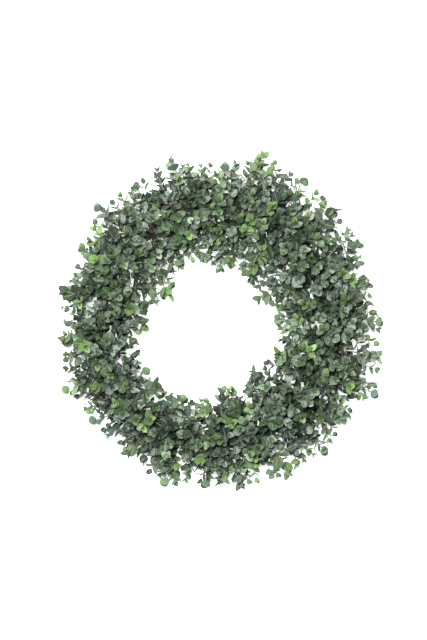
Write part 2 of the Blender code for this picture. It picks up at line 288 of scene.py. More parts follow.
def plan_spray(name, tip, direction, leaves_at, side, way, tree):
    """A packed spray's plan: its names, its root in the groove, its start, its tip and its angles."""
    azimuth, groove, start, off = read_start(corners_of(name), leaves_at)
    run, rise = (math.degrees(length / RING_RADIUS) for length in (ROOT_RUN, ROOT_RISE))
    root = [groove_point(tree, groove, azimuth - way * (rise + run * part)) for part in (1, 0.5, 0)]
    return {
        "name": name, "tip": tip, "direction": direction, "root": np.array(root), "start": start,
        "leaves_at": leaves_at, "side": side, "off": off,
    }


def plan_sprays(tree):
    """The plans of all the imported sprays, in the order of the source."""
    plans = []
    for group, (tips, heights, rise, side, sense) in SPRAY_GROUPS.items():
        for i, (azimuth, reach) in enumerate(tips):
            tilt = math.radians(rise)
            direction = math.cos(tilt) * sense * outward(azimuth) + math.sin(tilt) * UP
            tip = reach * outward(azimuth) + heights[i % len(heights)] * UP - LEAF_BEYOND * direction
            x, y = (tip - BUNDLE_CENTRE)[:2]
            way = STEM_WAYS[i % len(STEM_WAYS)]
            leaves_at = math.degrees(math.atan2(x, y)) - way * STEM_LEAN
            name = f"{group}_spray_{i + 1:02d}"
            plans.append(plan_spray(name, tip, direction, leaves_at, side, way, tree))
    return plans


sprays = plan_sprays(packed_vines)
worst = 1000 * max(spray["off"] for spray in sprays)
print(f"{len(sprays)} stems read back, the worst {worst:.3f} mm off its corners")

# %% [markdown]
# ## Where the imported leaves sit
#
# Eucalyptus leaves grow in opposite pairs, each pair a quarter turn on from the last. The source turned
# or shrank a pair where it met another spray. Its choice is read back in the same way, by asking which
# turn and size puts both leaf tips on corners of the solid.

# %% Places and directions on a stem


def place_along(points, distance):
    """The point at a distance along a polyline, and the direction of the line there."""
    steps = np.linalg.norm(np.diff(points, axis=0), axis=1)
    ends = np.cumsum(steps)
    segment = min(int(np.searchsorted(ends, distance)), len(steps) - 1)
    direction = (points[segment + 1] - points[segment]) / steps[segment]
    return points[segment + 1] - direction * (ends[segment] - distance), direction


def sideways_at(stem_way, ring_way, roll):
    """The direction across a stem at this roll about it, measured from the way along the ring."""
    reference = unit(ring_way - ring_way.dot(stem_way) * stem_way)
    turn = math.radians(roll)
    return math.cos(turn) * reference + math.sin(turn) * np.cross(stem_way, reference)


def leaf_axes(stem_way, sideways, spread):
    """A leaf's axes as rows: from base to tip, across, and out of its upper side, which faces the tip."""
    turn = math.radians(spread)
    along = math.cos(turn) * stem_way + math.sin(turn) * sideways
    upper = math.sin(turn) * stem_way - math.cos(turn) * sideways
    return np.array([along, np.cross(upper, along), upper])


along, _, _ = leaf_axes(UP, outward(90.0), 60.0)
print("A leaf that stands 60 degrees off an upright stem points along", along.round(2))

# %% Leaf pairs read back from the solids


def packed_tips(place, stem_way, sideways, length, spread):
    """The upper corners at the tips of a packed pair of leaves."""
    tips = []
    for sense in (1, -1):
        along, _, upper = leaf_axes(stem_way, sense * sideways, spread)
        raised = LEAF_CURL * length + LEAF_THICKNESS / 2
        tips.append(place + sense * LEAF_INSET * sideways + length * along + raised * upper)
    return np.array(tips)


def read_pairs(spray, roll, tolerance=0.0002):
    """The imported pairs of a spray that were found: (pair, roll, length)."""
    corners, found = corners_of(spray["name"]), []
    coarse = bend(spray["root"][-1], spray["start"], spray["tip"], spray["direction"], STEM_BEND_POINTS)
    ring_way = along_ring(spray["leaves_at"])
    for pair, back in enumerate(PAIR_PLACES):
        place, way = place_along(coarse[::-1], back)
        options = []
        for scale in LEAF_SCALES:
            for turn in LEAF_TURNS:
                rolled, length = roll + 90.0 * pair + turn, scale * LEAF_LENGTHS[pair]
                sideways = sideways_at(-way, ring_way, rolled)
                tips = packed_tips(place, -way, sideways, length, LEAF_SPREADS[pair])
                off = np.linalg.norm(corners[None] - tips[:, None], axis=2).min(axis=1).max()
                options.append((off, rolled, length))
        off, rolled, length = min(options)
        if off < tolerance:
            found.append((pair, rolled, length))
    return found


rolls = np.random.default_rng(PLAN_SEED).uniform(0.0, 90.0, len(sprays))
for spray, roll in zip(sprays, rolls):
    spray["pairs"] = read_pairs(spray, roll)
print("Packed leaves found:", 2 * sum(len(spray["pairs"]) for spray in sprays))

# %% [markdown]
# ## Side twigs
#
# A sprig of baby blue eucalyptus has about five pairs of leaves, and a full wreath has hundreds of
# sprigs, so that hardly a gap is left. Placing them by hand would take days, and plain chance would
# leave holes and heaps. Instead several places are drawn for each twig, and it takes the one furthest
# from every tip so far. The places lie on a dome round the bundle, at all depths.
#
# A dome alone would have a smooth edge, where the real wreath is ragged. So the dome stops a little
# short of the outline, and single sprigs poke out of it, outwards and into the hole.

# %% The dome of foliage
DOME_REACH = 0.050
DOME_LOW, DOME_HIGH = 0.018, 0.092
OUTER_BACK, INNER_BACK = 0.022, 0.013


def dome_reach(azimuth, angle):
    """How far the dome reaches out of the ring, or into it, at its foot, on the side of this angle."""
    ring = RING_RADIUS + outward(azimuth)[..., :2] @ np.array(RING_CENTRE)
    out = reach_at(OUTER_TIPS, azimuth) - OUTER_BACK - ring
    inside = ring - reach_at(INNER_TIPS, azimuth) - INNER_BACK
    return ring, np.where(angle < math.pi / 2, out, inside)


def dome_share(points):
    """How far out each point lies in the foliage: about 0 at the bundle and 1 at the dome's surface.

    It is the length of a vector of two shares: that of the dome's reach across the ring, and that of
    its height.
    """
    azimuth = np.degrees(np.arctan2(points[:, 0], points[:, 1]))
    flat = np.hypot(points[:, 0], points[:, 1])
    ring, _ = dome_reach(azimuth, 0.0)
    _, foot = dome_reach(azimuth, np.where(flat > ring, 0.0, math.pi))
    low = BUNDLE_CENTRE[2]
    return np.hypot((flat - ring) / foot, (points[:, 2] - low).clip(0.0) / (DOME_HIGH - low))


foot = dome_reach(0.0, np.array([0.0, math.pi]))[1]
print("At the top of the ring the dome reaches out and in by", (1000 * foot).round(0), "mm")

# %% Sprigs at the edges
SPRIG_COUNTS = {"outer": 100, "inner": 56}
SPRIG_BACK, BACK_POWER = 0.009, 1.5
SPRIG_HEIGHTS = (0.016, 0.060)
SPRIG_RISES = (4.0, 30.0)
SPRIG_LEAN, SPRIG_SWAY = 0.45, (-1.0, 0.7)
SPRIG_SHIFT = 0.4
OUTER_SIDE, INNER_SIDE = 30.0, 150.0
DRAW_SEED = 17
draw = np.random.default_rng(DRAW_SEED)


def in_opening(low, high):
    """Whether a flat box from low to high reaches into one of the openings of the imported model."""
    return ((low[:2] < OPENING_HIGHS).all(axis=1) & (high[:2] > OPENING_LOWS).all(axis=1)).any()


def edge_sprigs(count, tips, sense, side):
    """Sprigs that poke out of the foliage, spread evenly round the ring with some chance in each."""
    made = []
    for i in range(count):
        azimuth = 360.0 / count * (i + draw.uniform(-SPRIG_SHIFT, SPRIG_SHIFT)) % 360.0
        reach = reach_at(tips, azimuth) - sense * SPRIG_BACK * draw.uniform(0.0, 1.0) ** BACK_POWER
        rise = math.radians(draw.uniform(*SPRIG_RISES))
        direction = math.cos(rise) * sense * outward(azimuth) + math.sin(rise) * UP
        direction = unit(direction + SPRIG_LEAN * draw.uniform(*SPRIG_SWAY) * along_ring(azimuth))
        tip = reach * outward(azimuth) + draw.uniform(*SPRIG_HEIGHTS) * UP
        if not in_opening(tip, tip):
            made.append((azimuth, side, tip - LEAF_BEYOND * direction, direction))
    return made


sprigs = edge_sprigs(SPRIG_COUNTS["outer"], OUTER_TIPS, 1, OUTER_SIDE)
sprigs += edge_sprigs(SPRIG_COUNTS["inner"], INNER_TIPS, -1, INNER_SIDE)
print(f"{len(sprigs)} sprigs at the edges")

# %% Even shares of the dome
ANGLE_STEPS = 181


def angle_at(share):
    """The angle up to which the dome holds this share of its area, counted from outwards.

    The area grows with the ring's radius times the angle plus the dome's reach times its sine.
    """
    grid = np.linspace(0.0, math.pi, ANGLE_STEPS)
    area = RING_RADIUS * grid + DOME_REACH * np.sin(grid)
    return np.interp(share, area / area[-1], grid)


print(f"Half of the dome lies within {math.degrees(angle_at(0.5)):.0f} degrees of outwards")

# %% Twigs spread over the dome
TWIG_COUNT = 730
CHOICES = 24
DEPTH_RANGE = 0.40
LOWEST_RISE = 8.0
TWIG_LEAN, TWIG_JITTER = 0.55, (0.50, 0.50, 0.25)
HEIGHT_WEIGHT = 0.6


def twig_choices(count):
    """Random twigs: azimuths and angles over the dome, tips, and the directions that they end in.

    The angles share out the dome's area. The full tip is the dome's reach times the cosine of the
    angle, and a height that grows with its sine.
    """
    azimuth, share = draw.uniform(0.0, 360.0, count), draw.uniform(0.0, 1.0, count)
    angle = angle_at(share)
    ring, foot = dome_reach(azimuth, angle)
    height = DOME_LOW + (DOME_HIGH - DOME_LOW) * np.sin(angle)
    depth = 1.0 - DEPTH_RANGE * draw.uniform(0.0, 1.0, count) ** 2
    rise = np.radians(LOWEST_RISE) + (math.pi - 2 * np.radians(LOWEST_RISE)) * angle / math.pi
    direction = np.cos(rise)[:, None] * outward(azimuth) + np.sin(rise)[:, None] * UP
    jitter = TWIG_JITTER * draw.normal(size=(count, 3))
    direction += -TWIG_LEAN * along_ring(azimuth) + jitter
    direction = unit(direction)
    low = BUNDLE_CENTRE[2]
    flat = (ring + depth * foot * np.cos(angle))[:, None] * outward(azimuth)
    tips = flat + (low + depth * (height - low))[:, None] * UP
    return azimuth, np.degrees(angle), tips - LEAF_BEYOND * direction, direction


def spread_twigs(chosen, taken):
    """Twigs whose tips keep apart. Heights count less than the distance seen from the front."""
    weights = np.array([1.0, 1.0, HEIGHT_WEIGHT])
    taken = [tip * weights for tip in taken]
    for _ in range(TWIG_COUNT):
        azimuths, angles, tips, directions = twig_choices(CHOICES)
        apart = np.linalg.norm((tips * weights)[:, None] - np.array(taken)[None], axis=2).min(axis=1)
        best = apart.argmax()
        taken.append(tips[best] * weights)
        chosen.append((azimuths[best], angles[best], tips[best], directions[best]))
    return chosen


taken = [spray["tip"] for spray in sprays] + [tip for _, _, tip, _ in sprigs]
twigs = spread_twigs(sprigs, taken)
outer_count = sum(angle < 60 for _, angle, _, _ in twigs)
print(f"{len(twigs)} twigs, {outer_count} of them on the outer side")

# %% [markdown]
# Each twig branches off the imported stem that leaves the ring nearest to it, a little above the ring,
# and bends away to its own tip. So every twig has a parent, and belongs to the parent's piece.

# %% The routes of stems and twigs
STEM_STEPS = 11
TWIG_STEPS = 9
BRANCH_FIRST, BRANCH_SPREAD = 0.003, 0.014
BRANCH_HANDLE = 0.3
AZIMUTH_COST, ANGLE_COST = 7.0, 50.0
EDGE_ANGLE = 30.0


def branch_route(spray, tip, direction):
    """A twig's curve: it leaves the parent's stem part way towards its tip and ends in its direction."""
    stem = spray["bend"]
    start, stem_way = place_along(stem, BRANCH_FIRST + BRANCH_SPREAD * draw.random())
    reach = np.linalg.norm(tip - start)
    from_start = start + BRANCH_HANDLE * reach * unit(stem_way + unit(tip - start))
    return bezier(start, from_start, tip - STEM_BEND_HANDLE * reach * direction, tip, TWIG_STEPS)


for spray in sprays:
    spray["bend"] = bend(spray["root"][-1], spray["start"], spray["tip"], spray["direction"], STEM_STEPS)
    spray["twigs"] = []
homes = np.array([spray["leaves_at"] for spray in sprays])
sides = np.array([spray["side"] for spray in sprays])
for azimuth, angle, tip, direction in twigs:
    apart = np.abs((homes - azimuth + 180.0) % 360.0 - 180.0)
    parent = sprays[(apart / AZIMUTH_COST + np.abs(sides - angle) / ANGLE_COST).argmin()]
    at_edge = min(angle, 180.0 - angle) <= EDGE_ANGLE
    route = branch_route(parent, tip, direction)
    parent["twigs"].append({"route": route, "azimuth": azimuth, "at_edge": at_edge})
counts = [len(spray["twigs"]) for spray in sprays]
print(f"{min(counts)} to {max(counts)} twigs to a spray")

# %% [markdown]
# ## Placing the leaves
#
# Two real leaves can't pass through each other: they push each other aside. While the leaves are
# placed, each one is stood for by a flat round disc. Two discs cross where the line in which their
# planes meet runs through both at once. A new pair is tried at a few turns about its twig, and takes
# the one where it crosses the fewest discs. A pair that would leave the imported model's box, reach into
# the hole or sit in the vines isn't placed at all.

# %% The crowd of leaves
MOST_LEAVES = 9000
LARGEST_RADIUS = 0.0125
DISC_SHARE = 0.47
NEARLY_FLAT = 0.05
FLAT_GAP = 0.0012


class Crowd:
    """The discs of the leaves placed so far: middles, the ways that they face, and radii."""

    def __init__(self):
        self.middles = np.full((MOST_LEAVES, 3), 9.0)
        self.normals = np.tile(UP, (MOST_LEAVES, 1))
        self.radii = np.zeros(MOST_LEAVES)
        self.count = 0

    def add(self, middle, normal, radius):
        """Adds one disc."""
        self.middles[self.count] = middle
        self.normals[self.count] = normal
        self.radii[self.count] = radius
        self.count += 1

    def crossed(self, middle, normal, radius):
        """The number of discs that this one crosses.

        The line in which two planes meet is along the cross product of their normals. Its distance from
        each middle is how far that middle is from the other plane, over the sine of the angle between
        them. A disc covers half a chord on each side of the foot of that distance, and the discs cross
        where their stretches of the line overlap.
        """
        aside = np.abs(self.middles[: self.count, 0] - middle[0])
        column = np.flatnonzero(aside < 2 * LARGEST_RADIUS)
        offsets = self.middles[column] - middle
        near = np.einsum("ij,ij->i", offsets, offsets) < (radius + self.radii[column]) ** 2
        column = column[near]
        offsets, others, radii = offsets[near], self.normals[column], self.radii[column]
        if not len(radii):
            return 0
        line = np.cross(normal, others)
        sine = np.linalg.norm(line, axis=1)
        flat = sine < NEARLY_FLAT
        above = offsets @ normal
        beside = np.einsum("ij,ij->i", offsets, others)
        sine = np.maximum(sine, NEARLY_FLAT)
        own, other = radius**2 - (beside / sine) ** 2, radii**2 - (above / sine) ** 2
        cosine = others @ normal
        foot = (others - cosine[:, None] * normal) * (beside / sine**2)[:, None]
        other_foot = offsets - (normal - cosine[:, None] * others) * (above / sine**2)[:, None]
        apart = np.abs(np.einsum("ij,ij->i", other_foot - foot, line)) / sine
        reach = np.sqrt(np.maximum(own, 0)) + np.sqrt(np.maximum(other, 0))
        crosses = (own > 0) & (other > 0) & (apart < reach) & ~flat
        return int(crosses.sum() + (flat & (np.abs(above) < FLAT_GAP)).sum())


crowd = Crowd()
crowd.add(np.zeros(3), UP, 0.01)
crossed = crowd.crossed(np.array([0.005, 0, 0]), outward(0.0), 0.01)
print("A disc that stands across another crosses", crossed)

# %% Whether a leaf may stay
BOX_MARGIN = 0.0004
FLOOR_GAP = 0.0018
VINE_KEEP, VINE_EASE = 0.016, 0.3


def in_bounds(middle, axes, radius):
    """Whether a leaf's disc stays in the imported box, off the floor and the vines, and out of the hole.

    A disc reaches as far along an axis as its radius times the length of the part of that axis that
    lies in its plane.
    """
    spread = radius * np.sqrt(np.maximum(1.0 - axes[2] ** 2, 0.0))
    low, high = middle - spread, middle + spread
    outside = (low[:2] < cad_low[:2] + BOX_MARGIN).any() or (high > cad_high - BOX_MARGIN).any()
    if outside or low[2] < FLOOR_GAP or in_opening(low, high):
        return False
    x, y, z = middle - BUNDLE_CENTRE
    return np.hypot(np.hypot(x, y) - RING_RADIUS, z) > VINE_KEEP - radius * VINE_EASE


def turn_to_light(axes, share):
    """A leaf's axes once its upper side has turned some way from across the twig towards straight up."""
    upper = unit((1.0 - share) * axes[2] + share * UP)
    along = unit(axes[0] - axes[0].dot(upper) * upper)
    return np.array([along, np.cross(upper, along), upper])


middle = np.array([0.0, 0.0, 0.05])
print("A leaf in the middle of the hole may stay:", in_bounds(middle, np.eye(3), 0.01))

# %% A pair of leaves
TWIG_TURNS = (0, 24, -24, 48, -48, 72)
TWIG_SCALES = (1.0, 0.84)
MOST_CROSSED = 3
TWIG_WIDTH = (0.85, 0.08)
LIGHT_POWER = 1.5
crowd = Crowd()


def try_pair(place, stem_way, ring_way, roll, length, spread, shares):
    """The two leaves of a pair as (base, axes), and what they cross, or None where they may not be."""
    sideways = sideways_at(stem_way, ring_way, roll)
    pair, crossed = [], 0
    for sense, share in zip((1, -1), shares):
        axes = turn_to_light(leaf_axes(stem_way, sense * sideways, spread), share)
        middle = place + length / 2 * axes[0]
        if not in_bounds(middle, axes, DISC_SHARE * length):
            return None
        crossed += crowd.crossed(middle, axes[2], DISC_SHARE * length)
        pair.append((place + sense * LEAF_INSET * sideways, axes))
    return crossed, pair


def keep_pair(leaves, pair, length, width, age, tone):
    """Adds a pair to a spray's leaves and to the crowd."""
    for base, axes in pair:
        leaves.append((base, axes, length, width, age, tone))
        crowd.add(base + length / 2 * axes[0], axes[2], DISC_SHARE * length)


def place_pair(leaves, route, back, ring_way, light, roll, length, spread, age, tone):
    """The best turn and size of a twig's pair. Returns how many discs it crosses, or None if left out."""
    place, way = place_along(route[::-1], back)
    shares = light * draw.uniform(0.0, 1.0, 2) ** LIGHT_POWER
    options = []
    for scale in TWIG_SCALES:
        for turn in TWIG_TURNS:
            tried = try_pair(place, -way, ring_way, roll + turn, scale * length, spread, shares)
            if tried is not None:
                options.append((tried[0], len(options), scale * length, tried[1]))
                if tried[0] == 0:
                    break
        if options and min(options)[0] == 0:
            break
    if not options or min(options)[0] > MOST_CROSSED:
        return None
    crossed, _, length, pair = min(options)
    keep_pair(leaves, pair, length, draw.normal(*TWIG_WIDTH), age, tone)
    return crossed


crossed, _ = try_pair(ring_point(0.0, 90.0, 0.03), UP, along_ring(0.0), 0.0, 0.02, 60.0, (0.0, 0.0))
print("Before any leaf is placed, a pair above the ring crosses", crossed)

# %% [markdown]
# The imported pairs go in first, where they are. Then the twigs get theirs from the tip downwards, all
# the youngest pairs before the next. Young leaves are small, bright and half folded along the twig.
# Old ones are larger, bluer and stand off it. Some twigs are young as a whole, and some are grey to
# the tip, which gives the wreath its patches of bright and dull green.

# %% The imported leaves, and the age of each twig
OLD_AT = 0.080
TWIG_SIZES = (0.88, 1.06)
YOUNG_SHARES = {False: 0.20, True: 0.46}
YOUNG_AGES, OTHER_AGES = (-0.15, 0.05), (0.20, 0.85)


def twig_youth(at_edge):
    """How much older than its place a twig looks. One in five is young throughout, at the edge nearly
    half of them."""
    ages = YOUNG_AGES if draw.random() < YOUNG_SHARES[at_edge] else OTHER_AGES
    return draw.uniform(*ages)


def length_of(route):
    """The length of a polyline."""
    return np.linalg.norm(np.diff(route, axis=0), axis=1).sum()


for spray in sprays:
    youth = twig_youth(not spray["name"].startswith("front"))
    spray.update(leaves=[], youth=youth, tone=draw.random())
    ring_way = along_ring(spray["leaves_at"])
    for pair, roll, length in spray["pairs"]:
        place, way = place_along(spray["bend"][::-1], PAIR_PLACES[pair])
        sideways = sideways_at(-way, ring_way, roll)
        axes = [leaf_axes(-way, sense * sideways, LEAF_SPREADS[pair]) for sense in (1, -1)]
        bases = [place + sense * LEAF_INSET * sideways for sense in (1, -1)]
        age = youth + PAIR_PLACES[pair] / OLD_AT
        keep_pair(spray["leaves"], zip(bases, axes), length, 1.0, age, spray["tone"])
    for twig in spray["twigs"]:
        twig.update(roll=draw.uniform(0.0, 180.0), scale=draw.uniform(*TWIG_SIZES))
        twig.update(youth=twig_youth(twig["at_edge"]), tone=draw.random())
        twig["length"] = length_of(twig["route"])
print("Packed leaves in place:", sum(len(spray["leaves"]) for spray in sprays))

# %% The leaves of the twigs
TWIG_PLACES = (0.0015, 0.0110, 0.0225, 0.0355, 0.0490, 0.0620)
TWIG_LENGTHS = (0.0120, 0.0160, 0.0190, 0.0210, 0.0218, 0.0220)
TWIG_SPREADS = (36.0, 52.0, 64.0, 72.0, 76.0, 78.0)
FREE_STEM = 0.010
SPREAD_CHANCE, TONE_CHANCE = 4.0, 0.15
TO_LIGHT = {False: 0.36, True: 0.10}

crossed, left_out = [], 0
for pair, back in enumerate(TWIG_PLACES):
    for spray in sprays:
        for twig in spray["twigs"]:
            if back > twig["length"] - FREE_STEM:
                continue
            ring_way, light = along_ring(twig["azimuth"]), TO_LIGHT[twig["at_edge"]]
            roll, length = twig["roll"] + 90.0 * pair, twig["scale"] * TWIG_LENGTHS[pair]
            spread = TWIG_SPREADS[pair] + draw.normal(0.0, SPREAD_CHANCE)
            tone = np.clip(twig["tone"] + draw.normal(0.0, TONE_CHANCE), 0.0, 1.0)
            made = place_pair(
                spray["leaves"], twig["route"], back, ring_way, light, roll, length, spread,
                twig["youth"] + back / OLD_AT, tone,
            )
            left_out += made is None
            crossed += [] if made is None else [made]
leaf_count = sum(len(spray["leaves"]) for spray in sprays)
crossing = np.count_nonzero(crossed)
print(f"{leaf_count} leaves, {left_out} pairs left out, {crossing} of {len(crossed)} pairs cross a leaf")

# %% [markdown]
# The very tip of a twig holds its next pair, still closed like two hands. It is small enough to be
# placed without asking the crowd.

# %% The buds
BUD_LENGTH, BUD_SPREAD = 0.0065, 16.0
BUD_PLACE, BUD_WIDTH, BUD_YOUTH = 0.0004, 0.8, 0.1
for spray in sprays:
    spray["buds"] = []
    shoots = [(spray["bend"], spray["youth"], spray["tone"], spray["leaves_at"])]
    shoots += [(twig["route"], twig["youth"], twig["tone"], twig["azimuth"]) for twig in spray["twigs"]]
    for route, youth, tone, azimuth in shoots:
        place, way = place_along(route[::-1], BUD_PLACE)
        sideways = sideways_at(-way, along_ring(azimuth), draw.uniform(0.0, 180.0))
        for sense in (1, -1):
            axes = leaf_axes(-way, sense * sideways, BUD_SPREAD)
            if in_bounds(place + BUD_LENGTH / 2 * axes[0], axes, BUD_LENGTH / 2):
                base = place + sense * LEAF_INSET * sideways
                spray["buds"].append((base, axes, BUD_LENGTH, BUD_WIDTH, youth - BUD_YOUTH, tone))
print("Leaves in the buds:", sum(len(spray["buds"]) for spray in sprays))

# %% [markdown]
# ## The shape of a leaf
#
# A leaf is a closed surface over two parameters. The first runs from the base to the tip. The second
# runs once round the leaf: over the upper side from one edge to the other and back underneath. It
# could be a flat cut-out with a thickness modifier, but a formula gives the cup, the curl and an edge
# thinner than the middle at once, and makes every leaf of a spray in one array.

# %% A closed grid with a pole at each end


def closed_grid(rings, sides):
    """The faces of a tube of rings that ends in two poles, and the place of every face's corners.

    Corner 0 is the first pole, then come the rings in turn, and the last corner is the other pole. The
    place of a face's corner is its ring, where 0 and rings + 1 are the poles, and its side, which runs
    on to `sides` at the seam.
    """
    ring, side = (part.ravel() for part in np.mgrid[1:rings, :sides])
    first, last, turn = np.ones(sides, int), np.full(sides, rings), np.arange(sides)
    faces, places = [], []
    for part in (
        ((ring, ring, ring + 1, ring + 1), (side, side + 1, side + 1, side)),
        ((first - 1, first, first), (turn, turn + 1, turn)),
        ((last, last, last + 1), (turn, turn + 1, turn)),
    ):
        rows, turns = (np.stack(columns, axis=1) for columns in part)
        index = 1 + (rows - 1) * sides + turns % sides
        index = np.where(rows == 0, 0, np.where(rows > rings, 1 + rings * sides, index))
        faces += index.tolist()
        places.append(np.stack([rows.ravel(), turns.ravel()], axis=1))
    return faces, np.vstack(places).astype(float)


LEAF_RINGS, LEAF_SIDES = 5, 8
faces, places = closed_grid(LEAF_RINGS, LEAF_SIDES)
print(f"A leaf's grid has {len(faces)} faces and {len(places)} face corners")

# %% The leaf's surface
BUD_RINGS, BUD_SIDES = 3, 6
LEAF_WIDTH = 0.98
BLADE_THICKNESS = 0.0006
LEAF_FOLD = 0.20
FOLD_SOFTNESS = 0.06
WIDEST_POWER, ROUND_POWER = 0.80, 0.58


def leaf_rings(rings):
    """How far the rings and poles are from the base: half of one minus a cosine, closer at the ends."""
    return (1.0 - np.cos(np.pi * np.arange(rings + 2) / (rings + 1))) / 2


def leaf_outline(along):
    """Half the width of the leaf: a power of the sine of pi times a power of the distance along it."""
    return LEAF_WIDTH / 2 * np.sin(np.pi * along**WIDEST_POWER).clip(0.0) ** ROUND_POWER


def leaf_points(bases, axes, lengths, curls, cups, widths, rings=LEAF_RINGS, sides=LEAF_SIDES):
    """The corners of many leaves at once, as an array of leaves by corners by three.

    Across the leaf the place is the outline times the cosine of the second parameter, and half of the
    thickness is its sine. The blade rises from its midrib like a soft V, the square root of the distance
    squared plus a small square, then cups with the square of that distance, and curls with the square
    of the distance from the base.
    """
    turns = 2 * np.pi * np.arange(sides) / sides
    ring, turn = np.meshgrid(leaf_rings(rings)[1:-1], turns, indexing="ij")
    x = np.pad(ring.ravel(), 1, constant_values=(0.0, 1.0))
    cosine, sine = (np.pad(wave(turn).ravel(), 1) for wave in (np.cos, np.sin))
    outline = leaf_outline(x)
    y, thick = outline * cosine, sine * outline / outline.max()
    fold = LEAF_FOLD * (np.sqrt(y**2 + FOLD_SOFTNESS**2) - FOLD_SOFTNESS)
    z = fold + cups[:, None] * y**2 + curls[:, None] * x**2
    scale = lengths[:, None]
    local = np.stack(
        [scale * x, scale * widths[:, None] * y, scale * z + BLADE_THICKNESS / 2 * thick], axis=2
    )
    return bases[:, None] + local @ axes


none, whole = np.zeros(1), np.ones(1)
one = leaf_points(np.zeros((1, 3)), np.eye(3)[None], 0.02 * whole, none, none, whole)[0]
print("A 20 mm leaf measures", (1000 * np.ptp(one, axis=0)).round(1), "mm")

# %% [markdown]
# ## The shape of a stem
#
# A stem is a tube carried along its curve. Its section is a circle, drawn in the plane that stands
# across the curve. A twig thins evenly from its parent to its tip.

# %% A tube along a curve
STEM_SIDES = 6
SPRAY_RADII = (STEM_ROOT_RADIUS, 0.0008)
TWIG_RADII = (0.0010, 0.00065)
ODD_SHARE, ODD_WAY = 0.01, (0.3, 0.5, 0.81)


def across_curve(route):
    """Two unit vectors across a curve at each of its points.

    The first is the cross product of the curve's direction and the normal of the plane it bends in. A
    straight curve bends in no plane, so a small share of an odd direction is always added.
    """
    ways = unit(np.gradient(route, axis=0))
    plane = unit(np.cross(ways[0], ways[-1]) + ODD_SHARE * unit(np.cross(ways[0], ODD_WAY)))
    first = unit(np.cross(ways, plane))
    return first, np.cross(ways, first)


def tube_points(route, radii, across):
    """A closed tube: each ring is the curve's point plus the radius times cosine and sine across it.

    The radii have a row for each point of the curve and a column for each side.
    """
    sides = radii.shape[1]
    turn = 2 * np.pi * np.arange(sides)[:, None] / sides
    first, second = (way[:, None] for way in across)
    rings = route[:, None] + radii[..., None] * (np.cos(turn) * first + np.sin(turn) * second)
    return np.vstack([route[:1], rings.reshape(-1, 3), route[-1:]])


route = sprays[0]["bend"]
tube = tube_points(route, np.full((STEM_STEPS, STEM_SIDES), STEM_ROOT_RADIUS), across_curve(route))
print("A stem of the first spray spans", (1000 * np.ptp(tube, axis=0)).round(0), "mm")

# %% [markdown]
# ## Putting a piece together
#
# A spray is one mesh of many closed shells: its leaves and its stems. Every corner carries an age and a
# tone for the materials to read, and every face knows whether it is the pale underside of a leaf. The
# faces are written in one go, and the texture map holds the place along and across each leaf or stem.

# %% A mesh from shells
SHARP_ANGLE = 70.0


def make_mesh(name, shells, materials):
    """One mesh object from shells.

    A shell holds its points, its faces, its face corners' places on the map, its points' ages and
    tones, which of its faces are undersides, and the index of its material.
    """
    points, faces, mapped, ages, tones, under, indices = zip(*shells)
    firsts = np.cumsum([0] + [len(part) for part in points])
    joined = [[first + index for index in face] for first, part in zip(firsts, faces) for face in part]
    mesh = bpy.data.meshes.new(name)
    mesh.from_pydata(np.vstack(points).tolist(), [], joined)
    corners = np.vstack(mapped).ravel().astype(np.float32)
    mesh.uv_layers.new(name="along_across").data.foreach_set("uv", corners)
    labelled = (("age", "POINT", ages), ("tone", "POINT", tones), ("underside", "FACE", under))
    for label, domain, parts in labelled:
        values = np.concatenate(parts).astype(np.float32)
        mesh.attributes.new(label, "FLOAT", domain).data.foreach_set("value", values)
    mesh.polygons.foreach_set("material_index", np.repeat(indices, [len(part) for part in faces]))
    for material in materials:
        mesh.materials.append(material)
    mesh.shade_smooth()
    mesh.set_sharp_from_angle(angle=math.radians(SHARP_ANGLE))
    mesh.validate()
    made = bpy.data.objects.new(name, mesh)
    bpy.context.scene.collection.objects.link(made)
    return made


# %% The shells of stems and leaves
DEPTH_SHADE_FROM, DEPTH_SHADE_RANGE = 0.96, 0.42
CURL_AND_CUP = (0.07, 0.10), (0.06, 0.18)


def stem_shell(route, radii, ages, tone):
    """The shell of a stem. Its radius and its age run evenly from its root's to its tip's."""
    count = len(route)
    radii = np.tile(np.linspace(*radii, count)[:, None], STEM_SIDES)
    points = tube_points(route, radii, across_curve(route))
    faces, places = closed_grid(count, STEM_SIDES)
    ages = np.concatenate([ages[:1], np.repeat(np.linspace(*ages, count), STEM_SIDES), ages[1:]])
    tones, under = np.full(len(points), tone), np.zeros(len(faces))
    return points, faces, places / (count + 1, STEM_SIDES), ages, tones, under, 1


def leaf_shell(leaves, rings, sides):
    """The shell of many leaves. Those lying far below the dome's surface get a lower tone: painted shade,
    which the leaf's finish turns darker.
    """
    bases, axes, lengths, widths, ages, tones = (np.array(column) for column in zip(*leaves))
    count = len(lengths)
    curls, cups = draw.normal(*CURL_AND_CUP, (count, 2)).T
    points = leaf_points(bases, axes, lengths, curls, cups, widths, rings, sides)
    points = points.clip(cad_low + BOX_MARGIN, cad_high - BOX_MARGIN)
    # Painted shade: the further a leaf lies below the dome's surface, the lower its tone and the darker its
    # colour.
    depth_shade = ((DEPTH_SHADE_FROM - dome_share(bases)) / DEPTH_SHADE_RANGE).clip(0.0, 1.0)
    faces, places = closed_grid(rings, sides)
    each = points.shape[1]
    all_faces = [[each * leaf + index for index in face] for leaf in range(count) for face in faces]
    mapped = np.stack([leaf_rings(rings)[places[:, 0].astype(int)], places[:, 1]], axis=1)
    mapped[:, 1] = 0.5 + 0.5 * np.cos(2 * np.pi * places[:, 1] / sides) * (mapped[:, 0] % 1.0 > 0)
    side = np.arange((rings + 1) * sides) % sides
    under = np.tile((side >= sides // 2).astype(float), count)
    return (
        points.reshape(-1, 3), all_faces, np.tile(mapped, (count, 1)), np.repeat(ages, each),
        np.repeat(tones * (1.0 - depth_shade), each), under, 0,
    )


shell = stem_shell(sprays[0]["bend"], SPRAY_RADII, (1.0, 0.0), 0.5)
print(f"The shell of a stem has {len(shell[0])} corners and {len(shell[1])} faces")
